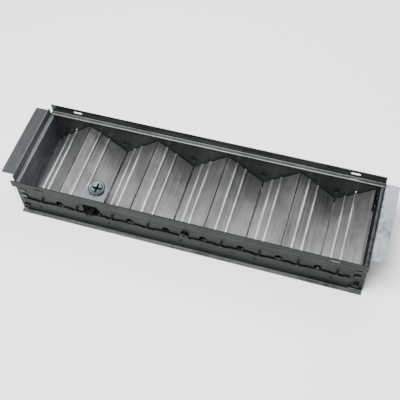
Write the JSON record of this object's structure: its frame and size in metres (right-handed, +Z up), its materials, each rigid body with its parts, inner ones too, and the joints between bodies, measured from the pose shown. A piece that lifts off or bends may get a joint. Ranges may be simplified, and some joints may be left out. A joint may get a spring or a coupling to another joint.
{
  "type": "volume control damper",
  "caption": "Opposed-blade volume control damper: folded sheet frame with fixing tabs, ribbed blades on pins, two sliding link bars and a screw adjuster at one side.",
  "frame": {"origin": "centre of the base, midway along and across the frame, where the bottom flanges lie", "axes": "+X along the frame to the right, seen from the adjuster's side; +Y across it to the rear rail; +Z up to the face with the fixing tabs"},
  "size_m": [0.449, 0.122, 0.0645],
  "materials": {
    "galvanised_frame": "matt spangled zinc",
    "galvanised_blade": "matt zinc with faint rolling lines",
    "galvanised_bar": "matt zinc",
    "zinc_plate": "clear zinc plating with a pale green cast",
    "bright_pin": "drawn bright steel",
    "dark_steel": "phosphated, dark"
  },
  "bodies": {
    "frame": {"side_rail_front": "galvanised_frame", "side_rail_rear": "galvanised_frame", "end_plate_left": "galvanised_frame", "end_plate_right": "galvanised_frame", "adjuster_bracket": "zinc_plate", "bracket_rivets": "bright_pin"},
    "blade_1": {"blade_1": "galvanised_blade", "pivot_pins_1": "bright_pin", "drive_pin_1": "bright_pin"},
    "blade_2": {"blade_2": "galvanised_blade", "pivot_pins_2": "bright_pin", "drive_pin_2": "bright_pin"},
    "blade_3": {"blade_3": "galvanised_blade", "pivot_pins_3": "bright_pin", "drive_pin_3": "bright_pin"},
    "blade_4": {"blade_4": "galvanised_blade", "pivot_pins_4": "bright_pin", "drive_pin_4": "bright_pin"},
    "blade_5": {"blade_5": "galvanised_blade", "pivot_pins_5": "bright_pin", "drive_pin_5": "bright_pin", "transfer_crank": "zinc_plate", "keeper_washer": "zinc_plate"},
    "blade_6": {"blade_6": "galvanised_blade", "pivot_pins_6": "bright_pin", "drive_pin_6": "bright_pin"},
    "blade_7": {"blade_7": "galvanised_blade", "pivot_pins_7": "bright_pin", "drive_pin_7": "bright_pin"},
    "blade_8": {"blade_8": "galvanised_blade", "pivot_pins_8": "bright_pin", "drive_pin_8": "bright_pin"},
    "blade_9": {"blade_9": "galvanised_blade", "pivot_pins_9": "bright_pin", "drive_pin_9": "bright_pin"},
    "link_bar_front": {"link_bar_front": "galvanised_bar"},
    "link_bar_rear": {"link_bar_rear": "galvanised_bar"},
    "adjuster": {"adjusting_screw": "zinc_plate", "adjuster_lever": "dark_steel", "friction_washer": "zinc_plate", "retaining_clip": "dark_steel"}
  },
  "joints": [
    {"name": "front_bar_slide", "type": "slide", "parent": "frame", "child": "link_bar_front", "axis": [1, 0, 0], "range_m": [0, 0.01014]},
    {"name": "rear_bar_slide", "type": "slide", "parent": "frame", "child": "link_bar_rear", "axis": [-1, 0, 0], "range_m": [0, 0.01014]},
    {"name": "blade_1_turn", "type": "hinge", "parent": "frame", "child": "blade_1", "pos_m": [-0.178, 0, 0.0282], "axis": [0, -1, 0], "range_deg": [0, 50]},
    {"name": "blade_2_turn", "type": "hinge", "parent": "frame", "child": "blade_2", "pos_m": [-0.1335, 0, 0.0282], "axis": [0, 1, 0], "range_deg": [0, 50]},
    {"name": "blade_3_turn", "type": "hinge", "parent": "frame", "child": "blade_3", "pos_m": [-0.089, 0, 0.0282], "axis": [0, -1, 0], "range_deg": [0, 50]},
    {"name": "blade_4_turn", "type": "hinge", "parent": "frame", "child": "blade_4", "pos_m": [-0.0445, 0, 0.0282], "axis": [0, 1, 0], "range_deg": [0, 50]},
    {"name": "blade_5_turn", "type": "hinge", "parent": "frame", "child": "blade_5", "pos_m": [0, 0, 0.0282], "axis": [0, -1, 0], "range_deg": [0, 50]},
    {"name": "blade_6_turn", "type": "hinge", "parent": "frame", "child": "blade_6", "pos_m": [0.0445, 0, 0.0282], "axis": [0, 1, 0], "range_deg": [0, 50]},
    {"name": "blade_7_turn", "type": "hinge", "parent": "frame", "child": "blade_7", "pos_m": [0.089, 0, 0.0282], "axis": [0, -1, 0], "range_deg": [0, 50]},
    {"name": "blade_8_turn", "type": "hinge", "parent": "frame", "child": "blade_8", "pos_m": [0.1335, 0, 0.0282], "axis": [0, 1, 0], "range_deg": [0, 50]},
    {"name": "blade_9_turn", "type": "hinge", "parent": "frame", "child": "blade_9", "pos_m": [0.178, 0, 0.0282], "axis": [0, -1, 0], "range_deg": [0, 50]},
    {"name": "adjuster_turn", "type": "hinge", "parent": "frame", "child": "adjuster", "pos_m": [-0.11431, -0.0325, 0.0203], "axis": [0, 0, 1], "range_deg": [0, 24.45]}
  ],
  "couplings": [
    {"joint": "rear_bar_slide", "follows": "front_bar_slide", "ratio": 1},
    {"joint": "blade_1_turn", "follows": "front_bar_slide", "rad_per_m": 86.05},
    {"joint": "blade_2_turn", "follows": "front_bar_slide", "rad_per_m": 86.05},
    {"joint": "blade_3_turn", "follows": "front_bar_slide", "rad_per_m": 86.05},
    {"joint": "blade_4_turn", "follows": "front_bar_slide", "rad_per_m": 86.05},
    {"joint": "blade_5_turn", "follows": "front_bar_slide", "rad_per_m": 86.05},
    {"joint": "blade_6_turn", "follows": "front_bar_slide", "rad_per_m": 86.05},
    {"joint": "blade_7_turn", "follows": "front_bar_slide", "rad_per_m": 86.05},
    {"joint": "blade_8_turn", "follows": "front_bar_slide", "rad_per_m": 86.05},
    {"joint": "blade_9_turn", "follows": "front_bar_slide", "rad_per_m": 86.05},
    {"joint": "adjuster_turn", "follows": "front_bar_slide", "rad_per_m": 42.07}
  ]
}
